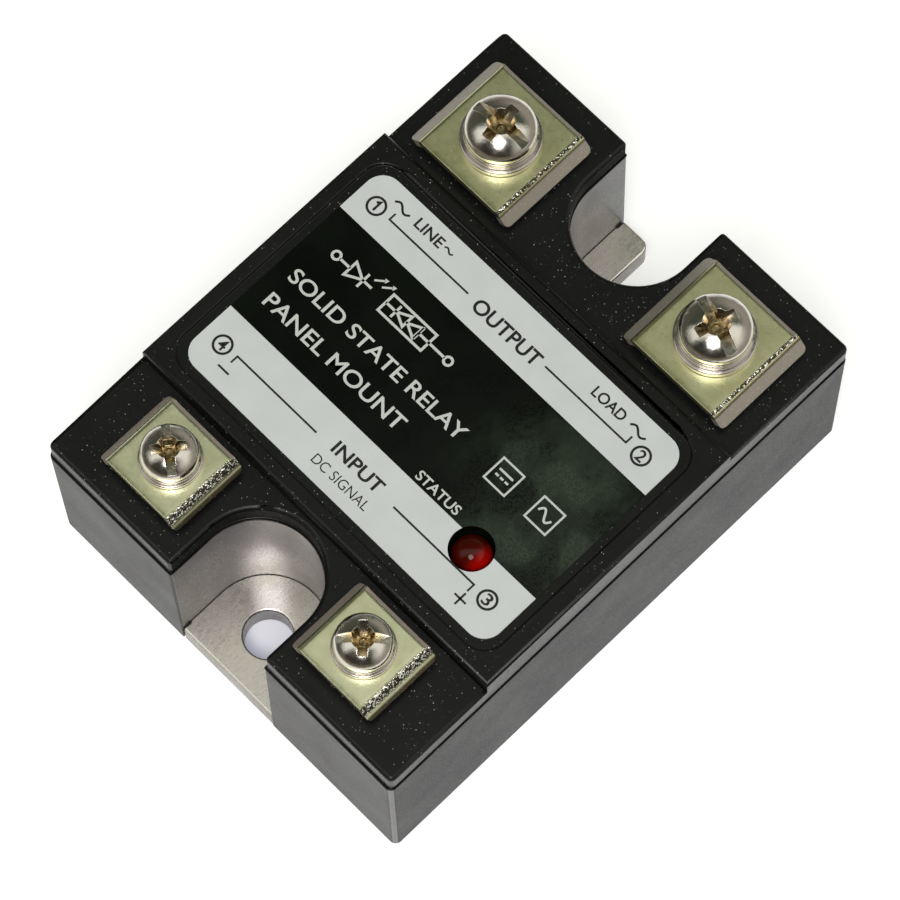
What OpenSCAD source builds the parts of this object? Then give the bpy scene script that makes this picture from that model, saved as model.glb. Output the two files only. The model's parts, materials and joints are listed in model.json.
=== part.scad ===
// Single-phase panel-mount solid state relay, four screw terminals.
// Origin: centre of the underside of the base plate.
// +X points to the load end, +Y to terminals 1 and 4, +Z up. Millimetres.

/* [Body] */
// Length over the moulded body, end to end
body_l = 58.2; // [57:0.1:60]
// Width over the moulded body
body_w = 44.6; // [43.5:0.1:46]
// Height of the terminal shelves above the mounting face
shelf_z = 21.5; // [21:0.1:22.5]
// Height of the raised centre block
block_z = 23.1; // [22.6:0.1:24]
// Where the centre block ends towards the load terminals
block_x_load = 13.6; // [13.4:0.1:14]
// Where the centre block ends towards the control terminals
block_x_ctrl = -17; // [-17.2:0.1:-16.8]
// Plan radius of the body corners
corner_r = 0.7; // [0.4:0.1:1.5]
// Thickness of the moulded walls
wall = 1.6; // [1.4:0.1:1.8]
// Height of the joint line between case and cover
parting_z = 19.2; // [19:0.1:19.6]
// How far the cover's edge stands back from the edge of the case
cover_inset = 0.12; // [0.04:0.02:0.2]
// How far the cover sits towards the load end
cover_dx = 0.1; // [0:0.02:0.14]

/* [Mounting] */
// Distance of each mounting hole from the centre
mount_x = 23.8; // [23.5:0.05:24]
// Radius of the mounting hole and half the width of the open slot
mount_r = 2.35; // [2.1:0.05:2.5]
// Centre of each end notch, measured from the centre of the body
notch_x = 24; // [23.8:0.1:24.2]
// Radius of each end notch, also half its width
notch_r = 6; // [5.6:0.1:6.1]
// Thickness of the metal base plate
plate_t = 3; // [2.6:0.1:3.4]

/* [Label and lamp] */
// Extent of the label film along X
label_l = 25.7; // [24:0.1:26]
// Extent of the label film along Y
label_w = 39.2; // [38:0.1:39.6]
// Middle of the label along X
label_x = -1.8; // [-2:0.1:-1.7]
// Radius of the label corners
label_r = 2; // [1:0.1:3]
// Position of the status lamp along X
led_x = -9; // [-9.2:0.1:-8.5]
// Position of the status lamp along Y
led_y = -12.3; // [-12.6:0.1:-12]
// Diameter of the status lamp lens
led_d = 3.8; // [3:0.1:3.9]

/* [Terminals] */
// Load terminals: distance from the centre along X
load_x = 20.4; // [20.4:0.1:20.8]
// Load terminals: distance from the centre along Y
load_y = 13.7; // [13.6:0.1:14.2]
// Control terminals: distance from the centre along X
ctrl_x = 22.4; // [22.3:0.1:22.8]
// Control terminals: distance from the centre along Y
ctrl_y = 12.4; // [12.3:0.1:12.8]
// How far the terminals, label and lamp stand off the centre line towards +Y
top_y = 0.2; // [0:0.05:0.2]
// Height of the top of every clamp plate when screwed down
clamp_z = 24; // [23.8:0.1:24.2]
// Load clamp: length along X
load_clamp_l = 11; // [10:0.1:11.2]
// Load clamp: width of its flat top along Y
load_clamp_w = 9.9; // [9.4:0.1:10]
// Control clamp: length along X
ctrl_clamp_l = 8.4; // [7.6:0.1:8.5]
// Control clamp: width of its flat top along Y
ctrl_clamp_w = 7.8; // [7.2:0.1:7.9]

/* [Hidden] */
$fn = 64;
eps = 0.01;

// Case and cover
skirt_z0 = 0.15;              // the skirt stops just short of the mounting face
seat = 0.5;                   // how far the case walls sit over the plate's rim
fit_gap = 0.1;                // clearance round the plate and inside the case
groove_h = 0.35;              // open joint line between case and cover
groove_d = 0.3;
roof = 1.5;                   // thickness of the cover's roof
spigot_t = 0.8;               // rib that centres the cover in the case
spigot_h = 1.5;
block_l = block_x_load - block_x_ctrl;
block_x = (block_x_load + block_x_ctrl) / 2;
label_recess = 0.3;
label_t = 0.15;
label_margin = 0.9;           // bare border between label and recess edge
led_hole_d = led_d + 0.5;
lamp_y = led_y + top_y;

// Terminals: 1 and 2 carry the load, 3 and 4 the control signal
function is_load(t) = t <= 2;
function side_y(t) = (t == 1 || t == 4) ? 1 : -1;
function term_x(t) = is_load(t) ? load_x : -ctrl_x;
function term_y(t) = top_y + side_y(t) * (is_load(t) ? load_y : ctrl_y);
function pick(t, load, ctrl) = is_load(t) ? load : ctrl;
function clamp_l(t) = pick(t, load_clamp_l, ctrl_clamp_l);
function clamp_w(t) = pick(t, load_clamp_w, ctrl_clamp_w);
function clamp_t(t) = pick(t, 0.8, 0.7);
function wing_run(t) = pick(t, 1.4, 1.1);
function wing_drop(t) = pick(t, 1.45, 1.35);
function screw_d(t) = pick(t, 4, 3);
function head_d(t) = pick(t, 6.8, 5.4);
function head_h(t) = pick(t, 2.6, 2.2);
function shank_l(t) = pick(t, 10, 8);
function slot_w(t) = pick(t, 1.05, 0.86);
function slot_depth(t) = pick(t, 1.15, 0.95);
function cross_w(t) = pick(t, 1.1, 0.9);
function cross_l(t) = pick(t, 4.6, 3.8);
function cross_depth(t) = pick(t, 1.7, 1.4);
function slot_angle(t) = [-86, -108, -46, -126][t - 1];
function washer_d(t) = pick(t, 7.7, 5.9);
function washer_t(t) = pick(t, 0.7, 0.5);
function spring_d(t) = pick(t, 7, 5.5);
function spring_t(t) = pick(t, 0.9, 0.7);
function head_z(t) = clamp_z + washer_t(t) + spring_t(t);
function neck_w(t) = pick(t, 8, 5.6);
function flange_w(t) = pick(t, 9.4, 6.8);
function block_top(t) = clamp_z - clamp_t(t);
function block_z0(t) = pick(t, 18.2, 18.6);
flange_top = shelf_z - roof - 0.1;
thread_gap = 0.05;            // radial clearance of the screw in its block

// Power stage, stacked on the base plate
ceramic_t = 0.7;
track_t = 0.3;
chip_t = 0.5;
chip_w = 9;
link_t = 0.5;
link_w = 4.6;
track_z = plate_t + ceramic_t;
chip_z = track_z + track_t;
chips = [[-1, 8.5], [6, -8.5]];

// Control board
board_z = 12;
board_t = 1.2;
board_top = board_z + board_t;
board_x0 = -16;
board_x1 = 13.5;
board_w = 37;
gate_pin = [3.6, 3.3];        // gate lead, offset from its chip's centre
pin_d = 0.8;

// ---------- plan outlines ----------

module rounded_rect(x, y, r) {
    square([x - 2 * r, y], center = true);
    square([x, y - 2 * r], center = true);
    for (sx = [-1, 1], sy = [-1, 1])
        translate([sx * (x / 2 - r), sy * (y / 2 - r)]) circle(r);
}

// One end's notch, open to the outside; side is +1 or -1 along X
module notch_plan(side, grow) {
    r = notch_r + grow;
    translate([side * notch_x, 0]) circle(r);
    translate([side * (notch_x + body_l / 2), 0])
        square([body_l, 2 * r], center = true);
}

// The body's outline, moved inwards everywhere by inset
module body_plan(inset) {
    difference() {
        rounded_rect(body_l - 2 * inset, body_w - 2 * inset,
                     max(corner_r - inset, 0.3));
        for (side = [-1, 1]) notch_plan(side, inset);
    }
}

// The base plate's outline: a rectangle inside the skirt plus two end tongues
module plate_plan(grow) {
    rim = 2 * (wall - seat);
    square([body_l - rim + 2 * grow, body_w - rim + 2 * grow], center = true);
    square([body_l - 0.2 + 2 * grow, 2 * (notch_r - 0.05 + grow)], center = true);
}

// The load end's slot, with its mouth corners rounded off
module slot_plan() {
    tip_r = 1;
    mouth_x = body_l / 2 - 0.1;
    translate([mount_x, 0]) circle(mount_r);
    translate([mount_x, -mount_r]) square([10, 2 * mount_r]);
    for (sy = [-1, 1])
        translate([mouth_x, sy * mount_r]) difference() {
            square(2 * tip_r, center = true);
            translate([-tip_r, sy * tip_r]) circle(tip_r);
            translate([-2 * tip_r, 0]) square([2 * tip_r, 4 * tip_r], center = true);
        }
}

// ---------- enclosure ----------

module base_plate() color([0.78, 0.76, 0.72])
    linear_extrude(plate_t) difference() {
        plate_plan(0);
        translate([-mount_x, 0]) circle(mount_r);
        slot_plan();
    }

module housing() color([0.13, 0.14, 0.14]) {
    translate([0, 0, skirt_z0]) linear_extrude(plate_t - skirt_z0)
        difference() {
            body_plan(0);
            plate_plan(fit_gap);
        }
    translate([0, 0, plate_t])
        linear_extrude(parting_z - groove_h - plate_t)
            difference() {
                body_plan(0);
                body_plan(wall);
            }
    translate([0, 0, parting_z - groove_h]) linear_extrude(groove_h)
        difference() {
            body_plan(groove_d);
            body_plan(wall);
        }
}

module top_cover() color([0.11, 0.12, 0.115])
    difference() {
        union() {
            translate([cover_dx, 0, parting_z])
                linear_extrude(shelf_z - parting_z) body_plan(cover_inset);
            translate([block_x, 0, (parting_z + block_z) / 2])
                cube([block_l, body_w - 2 * cover_inset, block_z - parting_z],
                     center = true);
            translate([0, 0, parting_z - spigot_h])
                linear_extrude(spigot_h + eps) body_plan(wall + fit_gap);
        }
        translate([0, 0, parting_z - spigot_h - 1])
            linear_extrude(shelf_z - roof - parting_z + spigot_h + 1)
                body_plan(wall + fit_gap + spigot_t);
        translate([block_x, 0, (parting_z + block_z - roof) / 2])
            cube([block_l - 2 * wall, body_w - 2 * (wall + fit_gap + spigot_t),
                  block_z - roof - parting_z], center = true);
        translate([label_x, top_y, block_z - label_recess])
            linear_extrude(1)
                rounded_rect(label_l + 2 * label_margin,
                             label_w + 2 * label_margin,
                             label_r + label_margin / 2);
        translate([led_x, lamp_y, parting_z]) cylinder(h = 5, d = led_hole_d);
        for (t = [1:4])
            translate([term_x(t), term_y(t), shelf_z])
                cube([neck_w(t) + 0.3, neck_w(t) + 0.3, 6], center = true);
    }

module label() color([0.82, 0.84, 0.84])
    translate([0, 0, block_z - label_recess]) linear_extrude(label_t)
        difference() {
            translate([label_x, top_y]) rounded_rect(label_l, label_w, label_r);
            translate([led_x, lamp_y]) circle(d = led_hole_d);
        }

// ---------- status lamp ----------

led_z = 17;                   // underside of the lamp's flange
module status_led() color([0.55, 0.05, 0.04])
    translate([led_x, lamp_y, led_z]) {
        cylinder(h = 1, d = led_d + 0.9);
        cylinder(h = block_z - led_d / 2 - led_z, d = led_d);
        translate([0, 0, block_z - led_d / 2 - led_z]) sphere(d = led_d);
    }

module led_leads() color([0.75, 0.75, 0.77])
    for (sx = [-1, 1])
        translate([led_x + sx * 1.27, lamp_y, (board_top + led_z) / 2])
            cube([0.5, 0.5, led_z - board_top], center = true);

// ---------- power stage ----------

module ceramic_substrate() color([0.92, 0.92, 0.9])
    translate([3, 0, plate_t + ceramic_t / 2])
        cube([22, 37, ceramic_t], center = true);

module copper_tracks() color([0.8, 0.47, 0.3])
    for (sy = [-1, 1])
        translate([3.5, sy * 9.3, track_z + track_t / 2])
            cube([20, 16.6, track_t], center = true);

module thyristor_chips() color([0.35, 0.36, 0.4])
    for (c = chips)
        translate([c[0], c[1], chip_z + chip_t / 2])
            cube([chip_w, chip_w, chip_t], center = true);

// Each link runs from the top of one chip down to the other chip's track
module chip_links() color([0.82, 0.5, 0.32])
    for (c = chips) {
        dir = -sign(c[1]);
        top = chip_z + chip_t;
        reach = 11.5;
        translate([c[0] - link_w / 2 + dir * 0.5, 0, 0])
            mirror([0, dir < 0 ? 0 : 1, 0]) {
                translate([0, abs(c[1]) - reach, top])
                    cube([link_w, reach, link_t]);
                translate([0, abs(c[1]) - reach - link_t, chip_z])
                    cube([link_w, link_t, chip_t + link_t]);
                translate([0, abs(c[1]) - reach - 2, chip_z])
                    cube([link_w, 2, link_t - 0.1]);
            }
    }

module gate_leads() color([0.8, 0.8, 0.82])
    for (c = chips)
        translate([c[0] + sign(c[1]) * gate_pin[0],
                   c[1] + sign(c[1]) * gate_pin[1], chip_z + chip_t])
            cylinder(h = board_z - chip_z - chip_t, d = pin_d);

// ---------- terminals ----------

// Threaded metal block: a neck through the cover and a captive flange below it
module terminal_block(t) color([0.83, 0.81, 0.76])
    translate([term_x(t), term_y(t), 0]) difference() {
        union() {
            translate([0, 0, (block_z0(t) + block_top(t)) / 2])
                cube([neck_w(t), neck_w(t), block_top(t) - block_z0(t)], center = true);
            translate([0, 0, (block_z0(t) + flange_top) / 2])
                cube([flange_w(t), flange_w(t), flange_top - block_z0(t)], center = true);
        }
        translate([0, 0, block_z0(t) - 1])
            cylinder(h = block_top(t) - block_z0(t) + 2, r = screw_d(t) / 2 + thread_gap);
    }

// Bent strap from a terminal block down to the tracks or the control board
module busbar(t) color([0.82, 0.5, 0.32]) {
    dir = is_load(t) ? -1 : 1;
    strap_w = pick(t, 6.4, 4);
    strap_t = pick(t, 1, 0.6);
    foot_z = pick(t, chip_z, board_top);
    riser_x = term_x(t) + dir * pick(t, 5.5, 4.6);
    foot_l = pick(t, 2.8, 2.4);
    top_l = abs(riser_x - term_x(t)) + flange_w(t) / 2;
    x_far = term_x(t) - dir * flange_w(t) / 2;
    difference() {
        translate([(x_far + riser_x) / 2, term_y(t), block_z0(t) - strap_t / 2])
            cube([top_l, strap_w, strap_t], center = true);
        translate([term_x(t), term_y(t), block_z0(t) - strap_t - 1])
            cylinder(h = strap_t + 2, d = screw_d(t) + 0.7);
    }
    translate([riser_x + dir * strap_t / 2, term_y(t), (foot_z + block_z0(t)) / 2])
        cube([strap_t, strap_w, block_z0(t) - foot_z], center = true);
    translate([riser_x + dir * foot_l / 2, term_y(t), foot_z + strap_t / 2])
        cube([foot_l, strap_w, strap_t], center = true);
}

// Saddle plate: a flat square top with a wing bent down along each Y side
module clamp_plate(t) color([0.66, 0.68, 0.52])
    translate([term_x(t), term_y(t), clamp_z]) difference() {
        half = clamp_w(t) / 2;
        run = wing_run(t);
        drop = wing_drop(t);
        th = clamp_t(t);
        slope = atan2(drop, run);
        in_x = th * sin(slope);
        in_z = th * cos(slope);
        knee = half - th * tan(slope / 2);
        rotate([90, 0, 90])
            linear_extrude(clamp_l(t), center = true)
                polygon([[half, 0], [half + run, -drop],
                         [half + run - in_x, -drop - in_z], [knee, -th],
                         [-knee, -th], [-half - run + in_x, -drop - in_z],
                         [-half - run, -drop], [-half, 0]]);
        translate([0, 0, -3]) cylinder(h = 6, d = screw_d(t) + 0.5);
    }

module flat_washer(t) color([0.8, 0.79, 0.76])
    translate([term_x(t), term_y(t), clamp_z]) difference() {
        cylinder(h = washer_t(t), d = washer_d(t));
        translate([0, 0, -1]) cylinder(h = 3, d = screw_d(t) + 0.3);
    }

// Split spring washer, squeezed flat, with its ends cut on a slant
module spring_washer(t) color([0.75, 0.74, 0.72])
    translate([term_x(t), term_y(t), clamp_z + washer_t(t)]) difference() {
        cylinder(h = spring_t(t), d = spring_d(t));
        translate([0, 0, -1]) cylinder(h = 3, d = screw_d(t) + 0.2);
        rotate([0, 0, -50]) translate([spring_d(t) / 2, 0, spring_t(t) / 2])
            rotate([30, 0, 0]) cube([spring_d(t), 0.4, 4], center = true);
    }

// Pan-head screw with a full slot and a cross recess
module screw(t) color([0.82, 0.81, 0.78])
    translate([term_x(t), term_y(t), head_z(t)]) difference() {
        r = head_d(t) / 2;
        h = head_h(t);
        rim_h = 0.38 * h;     // height of the straight rim below the dome
        union() {
            rotate_extrude() intersection() {
                translate([0, -5]) square([r, h + 5]);
                union() {
                    square([r, rim_h]);
                    translate([0, rim_h]) dome_profile(r, h - rim_h);
                }
            }
            translate([0, 0, -shank_l(t)]) cylinder(h = shank_l(t) + eps, d = screw_d(t));
        }
        rotate([0, 0, slot_angle(t)]) translate([0, 0, h]) {
            cube([3 * r, slot_w(t), 2 * slot_depth(t)], center = true);
            cube([cross_w(t), cross_l(t), 2 * cross_depth(t)], center = true);
            cube([cross_l(t), cross_w(t), 2 * cross_depth(t)], center = true);
        }
    }

// Half profile of a shallow dome: an arc of a circle through rim and crown
module dome_profile(r, rise) {
    big = (r * r + rise * rise) / (2 * rise);
    intersection() {
        translate([0, rise - big]) circle(big, $fn = 128);
        square([r, rise]);
    }
}

// ---------- control electronics ----------

module control_board() color([0.1, 0.35, 0.2])
    translate([(board_x0 + board_x1) / 2, 0, board_z + board_t / 2])
        cube([board_x1 - board_x0, board_w, board_t], center = true);

// Six-lead optocoupler
module optocoupler() color([0.15, 0.15, 0.16])
    translate([-6, 2, board_top]) {
        translate([0, 0, 2.6]) cube([8.8, 6.4, 3.6], center = true);
        for (sx = [-1:1], sy = [-1, 1])
            translate([sx * 2.54, sy * 3.6, 1.5]) cube([0.6, 0.8, 3], center = true);
    }

// One axial part lying along Y with its leads bent down to the board
module axial_part(x, y, body_d, len, pitch) {
    lead = 0.6;
    lift = body_d / 2 + 0.4;
    translate([x, y, board_top]) {
        translate([0, len / 2, lift]) rotate([90, 0, 0]) cylinder(h = len, d = body_d);
        for (sy = [-1, 1]) {
            translate([0, sy * (len + pitch) / 4, lift])
                cube([lead, (pitch - len) / 2, lead], center = true);
            translate([0, sy * (pitch / 2), (lift + lead / 2) / 2])
                cube([lead, lead, lift + lead / 2], center = true);
        }
    }
}

module resistors() color([0.75, 0.65, 0.5])
    for (x = [1, 4.2, 7.4, 10.6]) axial_part(x, 11.5, 2.3, 6.3, 10);

module input_diode() color([0.12, 0.12, 0.13])
    axial_part(-13.2, -2, 2.6, 5.2, 9);

module snubber_resistor() color([0.85, 0.85, 0.8])
    axial_part(0.5, -11, 4, 10, 13);

module driver_transistor() color([0.13, 0.13, 0.14])
    translate([-10, 11, board_top]) {
        difference() {
            translate([0, 0, 1.8]) cylinder(h = 4.6, d = 4.8);
            translate([0, 3.2, 4]) cube([6, 4, 6], center = true);
        }
        for (sx = [-1:1])
            translate([sx * 1.27, 0, 0.9]) cube([0.5, 0.5, 1.8], center = true);
    }

module snubber_capacitor() color([0.75, 0.6, 0.15])
    translate([8, -10, board_top + 3.9]) cube([5, 13, 7.4], center = true);

module varistor() color([0.2, 0.35, 0.6])
    translate([6.5, 2.4, board_top]) {
        translate([0, 1.7, 4.2]) rotate([90, 0, 0]) cylinder(h = 3.4, d = 7);
        for (sx = [-1, 1])
            translate([sx * 2.5, 0, 1]) cube([0.7, 0.7, 2], center = true);
    }

// Cured filling between the base plate and the control board
module potting_compound() color([0.2, 0.2, 0.22])
    difference() {
        translate([0, 0, plate_t]) linear_extrude(board_z - plate_t) body_plan(wall);
        ceramic_substrate();
        copper_tracks();
        thyristor_chips();
        chip_links();
        gate_leads();
        for (t = [1, 2]) busbar(t);
    }

// ---------- assembly ----------

base_plate();
housing();
top_cover();
label();
status_led();
led_leads();
ceramic_substrate();
copper_tracks();
thyristor_chips();
chip_links();
gate_leads();
control_board();
optocoupler();
resistors();
driver_transistor();
input_diode();
snubber_capacitor();
snubber_resistor();
varistor();
potting_compound();
for (t = [1:4]) {
    terminal_block(t);
    busbar(t);
    clamp_plate(t);
    flat_washer(t);
    spring_washer(t);
    screw(t);
}
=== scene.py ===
"""A panel-mount solid state relay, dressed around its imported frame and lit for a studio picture.

Lengths are written in millimetres and turned into metres by MM. +X is the load end, +Y the side
of terminals 1 and 4, +Z up.
"""

import json
import math

import bmesh
import bpy
from mathutils import Matrix, Vector

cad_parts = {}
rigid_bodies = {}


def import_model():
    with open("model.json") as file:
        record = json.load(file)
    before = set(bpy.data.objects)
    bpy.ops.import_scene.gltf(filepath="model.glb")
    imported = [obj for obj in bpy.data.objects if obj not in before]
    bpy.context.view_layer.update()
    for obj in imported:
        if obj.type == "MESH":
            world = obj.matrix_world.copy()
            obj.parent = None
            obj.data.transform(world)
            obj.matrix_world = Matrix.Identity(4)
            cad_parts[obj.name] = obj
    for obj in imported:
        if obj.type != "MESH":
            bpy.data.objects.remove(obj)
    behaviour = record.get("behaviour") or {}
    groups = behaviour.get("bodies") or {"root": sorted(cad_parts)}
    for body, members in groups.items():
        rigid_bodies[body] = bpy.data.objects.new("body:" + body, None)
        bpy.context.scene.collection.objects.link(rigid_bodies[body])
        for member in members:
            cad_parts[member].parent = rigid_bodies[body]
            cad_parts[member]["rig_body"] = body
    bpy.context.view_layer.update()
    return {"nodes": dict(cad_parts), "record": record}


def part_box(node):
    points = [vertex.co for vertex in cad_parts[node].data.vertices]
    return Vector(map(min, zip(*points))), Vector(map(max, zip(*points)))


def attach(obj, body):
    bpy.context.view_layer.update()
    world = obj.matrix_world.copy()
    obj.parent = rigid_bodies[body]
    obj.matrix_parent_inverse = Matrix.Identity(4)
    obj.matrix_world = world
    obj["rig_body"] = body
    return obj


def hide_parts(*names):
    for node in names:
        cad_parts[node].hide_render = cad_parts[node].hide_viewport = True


MM = 0.001
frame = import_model()
nodes = frame["nodes"]

TERMINALS = (1, 2, 3, 4)
LOAD_TERMINALS = (1, 2)


# ---------- materials ----------


class Look:
    """A procedural material or world: its node tree and short ways to build it."""

    def __init__(self, owner):
        self.owner = owner
        owner.use_nodes = True
        self.tree = owner.node_tree

    def node(self, kind, inputs=None, **settings):
        made = self.tree.nodes.new("ShaderNode" + kind)
        for key, value in settings.items():
            setattr(made, key, value)
        for key, value in (inputs or {}).items():
            self.feed(made.inputs[key], value)
        return made

    def feed(self, socket, value):
        if isinstance(value, bpy.types.NodeSocket):
            self.tree.links.new(value, socket)
        else:
            socket.default_value = value

    def place(self, size, stretch=(1, 1, 1)):
        """Object coordinates scaled so that one unit is size millimetres."""
        where = self.node("TexCoord").outputs["Object"]
        scale = [s / (size * MM) for s in stretch]
        return self.node("Mapping", {"Vector": where, "Scale": scale}).outputs[0]

    def noise(self, size, detail=2.0, rough=0.5, stretch=(1, 1, 1)):
        made = self.node("TexNoise", {"Vector": self.place(size, stretch), "Scale": 1.0,
                                      "Detail": detail, "Roughness": rough})
        return made.outputs["Fac"]

    def cells(self, size):
        return self.node("TexVoronoi", {"Vector": self.place(size), "Scale": 1.0})

    def remap(self, value, low, high, to_low, to_high, kind="LINEAR"):
        made = self.node("MapRange", {"Value": value, "From Min": low, "From Max": high,
                                      "To Min": to_low, "To Max": to_high},
                         interpolation_type=kind)
        return made.outputs[0]

    def math(self, operation, a, b=0.0):
        return self.node("Math", {0: a, 1: b}, operation=operation).outputs[0]

    def mix(self, factor, a, b):
        made = self.node("Mix", {0: factor}, data_type="RGBA")
        self.feed(made.inputs[6], a)
        self.feed(made.inputs[7], b)
        return made.outputs[2]

    def bump(self, height, depth, normal=None, strength=1.0):
        """Normals of a height field whose full range is depth millimetres."""
        inputs = {"Height": height, "Distance": depth * MM, "Strength": strength}
        if normal is not None:
            inputs["Normal"] = normal
        return self.node("Bump", inputs).outputs["Normal"]


def rgb(red, green, blue):
    return (red, green, blue, 1.0)


def surface(name, **fixed):
    """A Look on a new material; fixed sets its shader's sockets by name, with _ for a space."""
    look = Look(bpy.data.materials.new(name))
    shader = look.tree.nodes["Principled BSDF"]
    for socket, value in fixed.items():
        shader.inputs[socket.replace("_", " ")].default_value = value
    look.shader = shader
    return look


def wire(look, colour=None, roughness=None, normal=None, metal=None):
    """Feeds the shader's main sockets and gives back the finished material."""
    for socket, value in (("Base Color", colour), ("Roughness", roughness),
                          ("Normal", normal), ("Metallic", metal)):
        if value is not None:
            look.feed(look.shader.inputs[socket], value)
    return look.owner


def moulded_plastic(name, tint, speck_share, gloss, shine, grain_depth):
    """Black glass-filled plastic: a fine grain, faint cloudiness and pale specks of fibre."""
    look = surface(name, Specular_IOR_Level=shine)
    grain = look.noise(0.16, detail=3.0)
    cloud = look.noise(5.0, detail=4.0)
    specks = look.cells(0.22)
    lot = look.node("SeparateColor", {"Color": specks.outputs["Color"]})
    patchy = look.remap(look.noise(6.0, detail=2.0), 0.35, 0.65, 0.2, 1.6)
    share = look.math("MULTIPLY", patchy, speck_share)
    chosen = look.math("LESS_THAN", lot.outputs[0], share)
    near = look.remap(specks.outputs["Distance"], 0.08, 0.26, 1.0, 0.0)
    strength = look.math("MULTIPLY", look.math("POWER", lot.outputs[1], 3.0), near)
    speck = look.math("MULTIPLY", chosen, strength)
    dark = look.mix(cloud, rgb(*(0.6 * c for c in tint)), rgb(*(1.4 * c for c in tint)))
    colour = look.mix(speck, dark, rgb(0.66, 0.68, 0.66))
    roughness = look.math("ADD", look.remap(grain, 0.3, 0.7, gloss - 0.05, gloss + 0.08),
                          look.remap(cloud, 0.3, 0.7, -0.03, 0.03))
    return wire(look, colour, roughness, look.bump(grain, grain_depth, strength=0.55))


def satin_metal(name, colour, dark, rough, grain_size=0.5, stretch=(1, 1, 1), bump=0.004):
    """Plated metal with a fine directional grain and cloudy tarnish."""
    look = surface(name, Metallic=1.0)
    grain = look.noise(grain_size, detail=4.0, rough=0.6, stretch=stretch)
    cloud = look.noise(3.5, detail=3.0)
    tone = look.mix(look.remap(cloud, 0.35, 0.7, 0.0, 1.0), rgb(*colour), rgb(*dark))
    roughness = look.math("ADD", look.remap(grain, 0.3, 0.7, rough - 0.06, rough + 0.08),
                          look.remap(cloud, 0.3, 0.7, -0.04, 0.05))
    return wire(look, tone, roughness, look.bump(grain, bump))


def bright_nickel(name, colour, recess, rough):
    """Polished plating on turned steel; the recess attribute marks the tooled sockets, painted a
    darker brown deeper in: a brown tint with painted shade.
    """
    look = surface(name, Metallic=1.0)
    deep = look.node("Attribute", attribute_name="recess").outputs["Fac"]
    dents = look.noise(0.7, detail=3.0)
    fine = look.noise(0.12, detail=2.0)
    stain = look.remap(look.noise(0.5, detail=3.0), 0.38, 0.62, 0.0, 1.0)
    # darker brown deeper in the recess: a brown tint and painted shade
    recess_tint_and_shade = look.mix(stain, rgb(*(0.35 * c for c in recess)), rgb(*recess))
    tone = look.mix(deep, rgb(*colour), recess_tint_and_shade)
    roughness = look.math("ADD", look.remap(dents, 0.3, 0.7, rough - 0.04, rough + 0.05),
                          look.math("MULTIPLY", deep, 0.12))
    rounded = look.node("Bevel", {"Radius": 0.08 * MM}, samples=6).outputs["Normal"]
    smooth = look.bump(dents, 0.022, rounded)
    return wire(look, tone, roughness, look.bump(fine, 0.0012, smooth))


def chromate(name, pale, deep, bare):
    """Yellow-green passivated plate; wear marks its peeling bends, and wing marks its duller bare
    bands at 1 and a dark band of painted shade at 0.5.
    """
    look = surface(name, Metallic=1.0)
    stain = look.noise(1.8, detail=4.0, rough=0.6)
    grain = look.noise(0.45, detail=2.0)
    peel = look.cells(0.13)
    dust = look.cells(0.2)
    wear = look.node("Attribute", attribute_name="wear").outputs["Fac"]
    wing = look.node("Attribute", attribute_name="wing").outputs["Fac"]
    chips = look.node("SeparateColor", {"Color": peel.outputs["Color"]})
    lot = look.node("SeparateColor", {"Color": dust.outputs["Color"]}).outputs[1]
    olive = look.mix(look.remap(stain, 0.35, 0.68, 0.0, 1.0), rgb(*pale), rgb(*deep))
    fleck = look.math("MULTIPLY", look.math("LESS_THAN", lot, 0.22),
                      look.remap(dust.outputs["Distance"], 0.10, 0.40, 0.35, 0.0))
    bright = look.math("GREATER_THAN", chips.outputs[0], 0.66)
    worn = look.mix(bright, rgb(0.030, 0.026, 0.018), rgb(0.95, 0.92, 0.86))
    tone = look.mix(look.math("MULTIPLY", wear, 0.95), olive, worn)
    # wing up to 0.5 paints a dark brown: painted shade on the -Y wings of the control plates
    tone = look.mix(look.remap(wing, 0.0, 0.5, 0.0, 1.0), tone, rgb(0.13, 0.115, 0.075))
    wing = look.remap(wing, 0.5, 1.0, 0.0, 1.0)
    tone = look.mix(wing, tone, rgb(*bare))
    tone = look.mix(fleck, tone, rgb(1.0, 0.99, 0.90))
    metal = look.math("SUBTRACT", 1.0, look.math("MAXIMUM", look.math("MULTIPLY", wing, 0.7),
                                                 look.math("MULTIPLY", fleck, 0.6)))
    roughness = look.math("ADD", look.remap(grain, 0.3, 0.7, 0.27, 0.33),
                          look.math("MULTIPLY", wing, 0.10))
    height = look.math("MULTIPLY", peel.outputs["Distance"], wear)
    rounded = look.node("Bevel", {"Radius": 0.10 * MM}, samples=6).outputs["Normal"]
    return wire(look, tone, roughness, look.bump(height, 0.07, rounded), metal)


def printed_film(name, colour, gloss, shine=0.5):
    """Printed polyester film: even ink under a clear, slightly wavy face."""
    look = surface(name, Specular_IOR_Level=shine)
    ripple = look.noise(3.0, detail=2.0)
    grain = look.noise(0.2, detail=2.0)
    tone = look.mix(look.remap(ripple, 0.3, 0.7, 0.0, 1.0), rgb(*colour),
                    rgb(*(0.95 * c for c in colour)))
    roughness = look.remap(grain, 0.3, 0.7, gloss - 0.02, gloss + 0.03)
    return wire(look, tone, roughness, look.bump(ripple, 0.003))


def plain_part(name, colour, rough, metal=0.0, size=0.8, bump=0.01):
    """A small inner component: mottled colour and a slightly uneven face."""
    look = surface(name, Metallic=metal)
    mottle = look.noise(size, detail=3.0)
    pale = rgb(*(min(1.0, 1.12 * c) for c in colour))
    tone = look.mix(mottle, rgb(*(0.82 * c for c in colour)), pale)
    roughness = look.remap(mottle, 0.3, 0.7, rough - 0.05, rough + 0.07)
    return wire(look, tone, roughness, look.bump(mottle, bump))


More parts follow.
